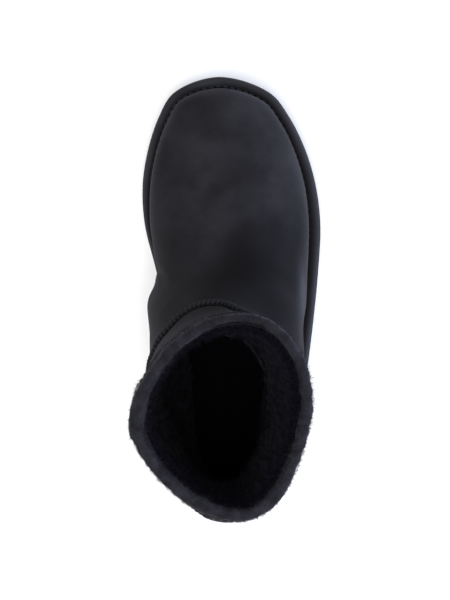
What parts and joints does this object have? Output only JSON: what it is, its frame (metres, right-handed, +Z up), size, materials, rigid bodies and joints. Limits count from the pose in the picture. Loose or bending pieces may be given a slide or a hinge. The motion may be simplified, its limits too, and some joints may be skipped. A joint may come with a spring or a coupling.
{
  "type": "ankle boot",
  "caption": "Sheepskin ankle boot for the right foot, hollow and open at the collar, with a raised vamp seam, bound collar and thick flat sole.",
  "frame": {"origin": "middle of the boot's bounding box in plan, on the floor plane", "axes": "+Z up from the floor, +Y from the heel to the toe, +X to the outer side of the right foot"},
  "size_m": [0.1078, 0.2678, 0.1596],
  "materials": {
    "tread": "matt moulded rubber foam",
    "foam": "matt moulded foam",
    "rim": "suede-wrapped rim strip",
    "wool": "dense wool pile",
    "suede": "brushed sheepskin suede",
    "binding": "rough suede binding",
    "thread": "overcast seam thread"
  },
  "bodies": {
    "root": {"outsole": "tread", "midsole": "foam", "welt": "rim", "insole": "wool", "upper": "suede", "heel_counter": "suede", "heel_label": "binding", "back_strip": "suede", "vamp_seam": "thread", "side_seam_outer": "thread", "side_seam_inner": "thread", "collar_binding": "binding"}
  },
  "joints": []
}
